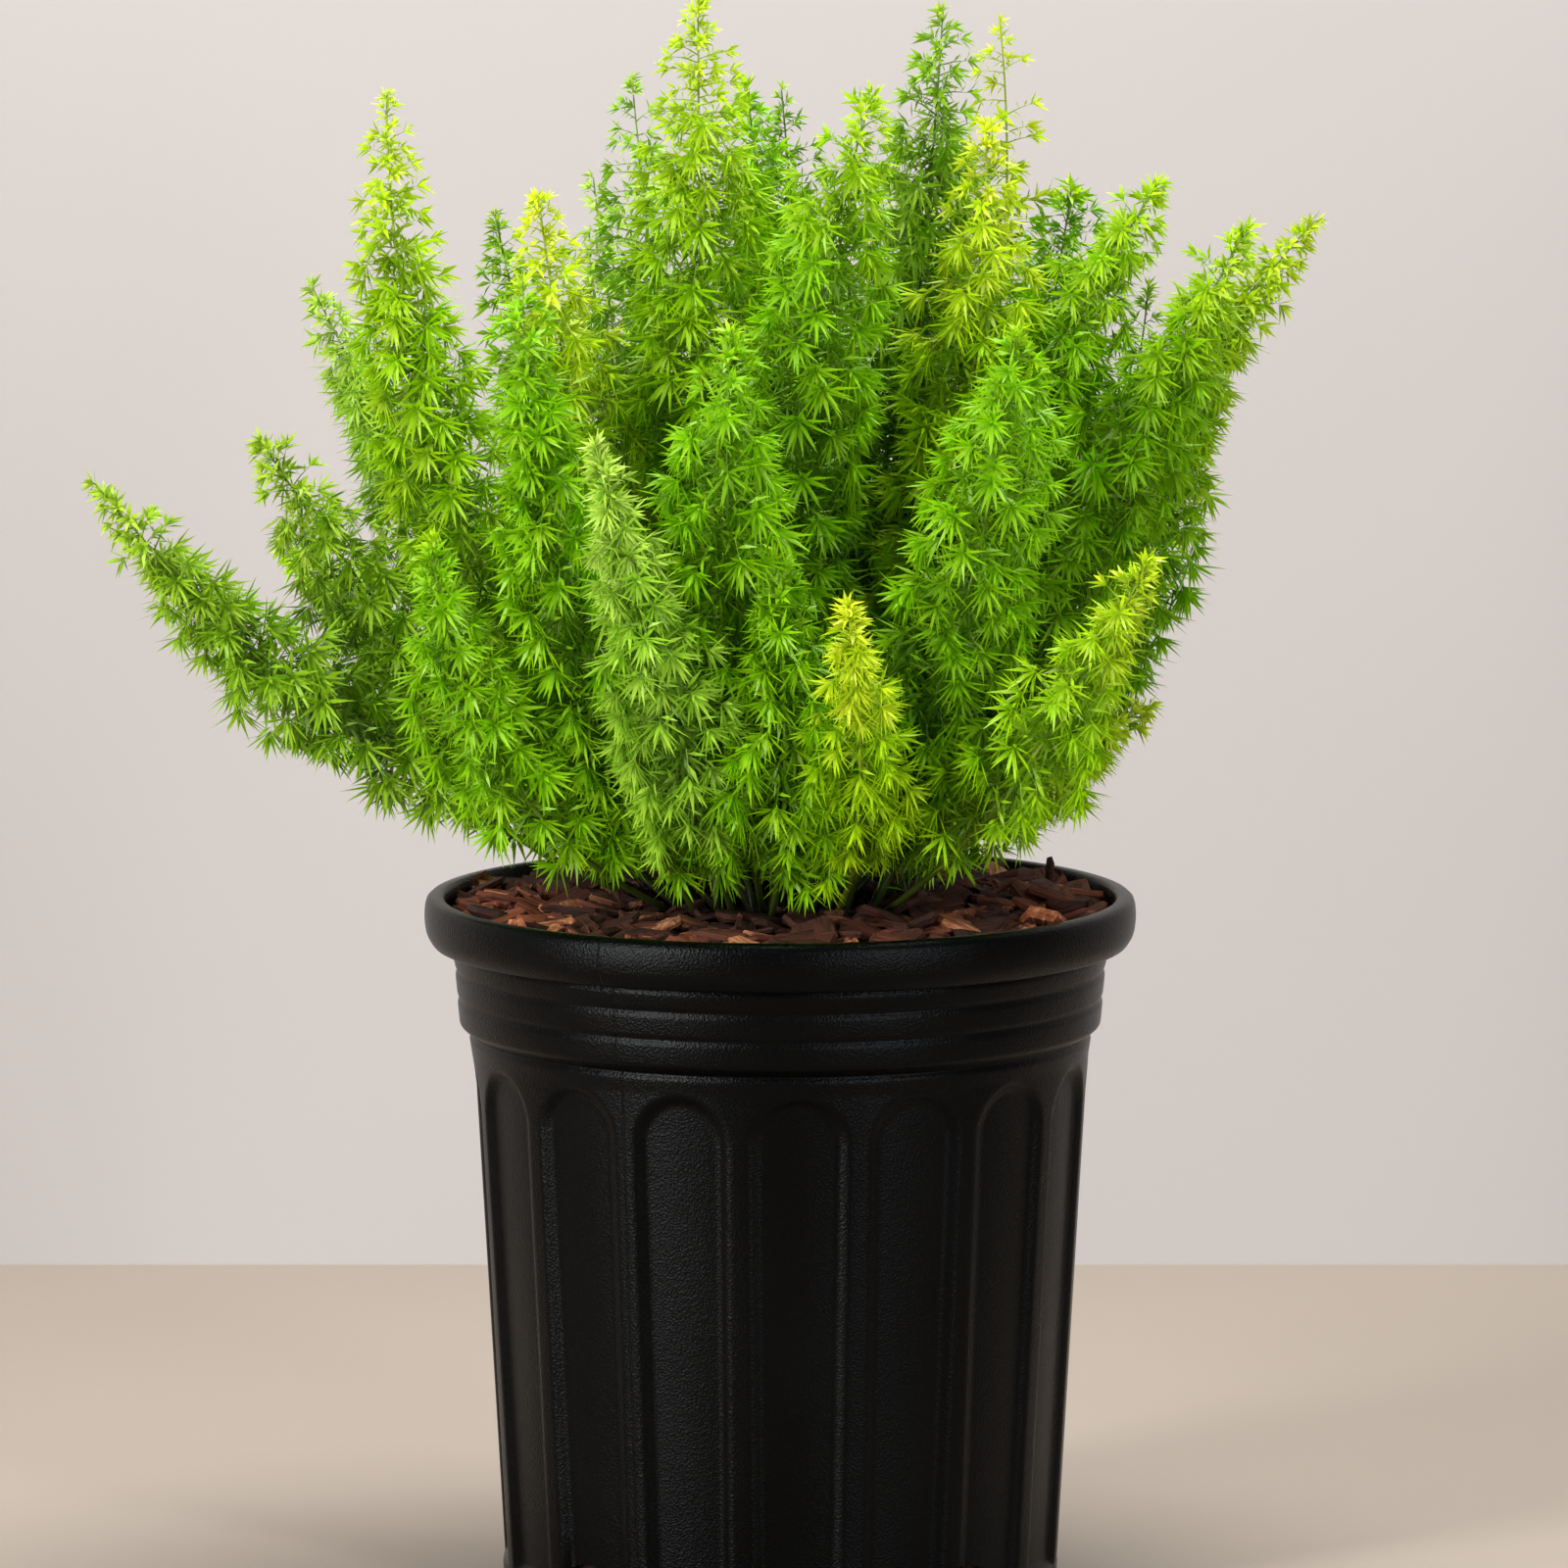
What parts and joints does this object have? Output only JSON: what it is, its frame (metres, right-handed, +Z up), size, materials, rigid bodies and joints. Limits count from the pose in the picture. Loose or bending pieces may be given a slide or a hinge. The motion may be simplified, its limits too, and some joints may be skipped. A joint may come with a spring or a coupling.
{
  "type": "potted foxtail fern",
  "caption": "Foxtail fern in a fluted black plastic nursery pot with potting soil and bark mulch; its leafy stems arch up and out from one crown.",
  "frame": {"origin": "centre of the pot's base, on the surface that the pot stands on", "axes": "+Z up along the pot's axis, -Y to the front, +X to the right seen from the front"},
  "size_m": [0.4899, 0.3616, 0.6281],
  "materials": {
    "pot_plastic": "satin black moulded plastic with a fine leather-like grain",
    "soil": "dark, damp, crumbly potting mix of peat and composted bark",
    "bark": "rough reddish brown bark chips with lighter torn fibres",
    "leaf_bright": "satin, vivid yellow-green needles",
    "leaf_deep": "satin, deep green needles",
    "leaf_pale": "satin, pale grey-green needles",
    "leaf_lime": "satin, lime green needles",
    "leaf_gold": "satin, young yellow needles"
  },
  "bodies": {
    "root": {"pot": "pot_plastic", "potting_soil": "soil", "bark_mulch": "bark", "stem_left_low": "leaf_deep", "stem_left_fringe": "leaf_deep", "stem_left_mid": "leaf_deep", "stem_left_tall": "leaf_lime", "stem_left_behind": "leaf_pale", "stem_front_left": "leaf_bright", "stem_low_left": "leaf_bright", "stem_dark_left": "leaf_deep", "stem_gold_left": "leaf_gold", "stem_thin_left": "leaf_pale", "stem_front_pale": "leaf_pale", "stem_crown_tall": "leaf_lime", "stem_thin_mid": "leaf_pale", "stem_dark_mid": "leaf_deep", "stem_centre_main": "leaf_bright", "stem_centre_front": "leaf_bright", "stem_right_tall": "leaf_deep", "stem_thin_gold": "leaf_gold", "stem_gold_right": "leaf_gold", "stem_right_inner": "leaf_bright", "stem_right_outer": "leaf_bright", "stem_dark_right": "leaf_deep", "stem_right_arm": "leaf_bright", "stem_right_tip": "leaf_lime", "stem_right_edge": "leaf_bright", "stem_right_front": "leaf_bright", "stem_front_lime": "leaf_lime", "stem_front_gold": "leaf_gold", "stem_front_fill": "leaf_bright", "stem_right_fringe": "leaf_lime", "stem_back_left": "leaf_bright", "stem_back_low": "leaf_deep", "stem_back_far": "leaf_bright", "stem_back_mid": "leaf_deep", "stem_back_right": "leaf_bright", "stem_back_skirt": "leaf_lime", "stem_back_edge": "leaf_bright", "stem_back_wing": "leaf_bright", "stem_back_inner": "leaf_bright", "stem_back_tall": "leaf_bright"}
  },
  "joints": []
}
